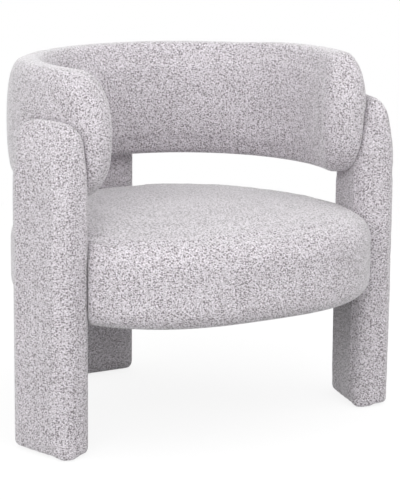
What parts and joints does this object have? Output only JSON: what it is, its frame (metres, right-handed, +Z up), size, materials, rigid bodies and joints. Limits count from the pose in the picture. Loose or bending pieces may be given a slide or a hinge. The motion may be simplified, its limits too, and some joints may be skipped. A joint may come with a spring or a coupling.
{
  "type": "tub chair",
  "caption": "Low tub chair: thick round seat and a padded band round the back and arms, on upright slab legs, all covered in looped fabric.",
  "frame": {"origin": "centre of the bounding box in plan, on the floor under the glides", "axes": "+Z up; the open front of the seat faces -Y; +X runs across the chair, towards the leg named right"},
  "size_m": [0.812, 0.7066, 0.706],
  "materials": {
    "cover fabric": "looped pile",
    "foam": "open cell",
    "plywood": "sanded",
    "timber": "sawn",
    "steel": "zinc plated",
    "nylon": "matt",
    "webbing": "woven",
    "lining": "felted"
  },
  "bodies": {
    "root": {"seat_cover": "cover fabric", "seat_foam": "foam", "seat_upper_ring": "plywood", "seat_lower_ring": "plywood", "seat_posts": "timber", "seat_mount_blocks": "timber", "seat_packers": "timber", "webbing_crosswise": "webbing", "webbing_lengthwise": "webbing", "dust_cover": "lining", "back_cover": "cover fabric", "back_foam": "foam", "back_lower_rail": "plywood", "back_upper_rail": "plywood", "back_uprights": "timber", "back_inner_panel": "plywood", "back_outer_panel": "plywood", "back_mount_blocks": "timber", "back_packers": "timber", "left_leg_cover": "cover fabric", "left_leg_foam": "foam", "left_leg_inner_board": "plywood", "left_leg_outer_board": "plywood", "left_leg_ribs": "timber", "left_leg_packers": "timber", "right_leg_cover": "cover fabric", "right_leg_foam": "foam", "right_leg_inner_board": "plywood", "right_leg_outer_board": "plywood", "right_leg_ribs": "timber", "right_leg_packers": "timber", "rear_leg_cover": "cover fabric", "rear_leg_foam": "foam", "rear_leg_inner_board": "plywood", "rear_leg_outer_board": "plywood", "rear_leg_ribs": "timber", "rear_leg_packers": "timber", "seat_bolts": "steel", "back_bolts": "steel", "washers": "steel", "tee_nuts": "steel", "glides": "nylon"}
  },
  "joints": []
}
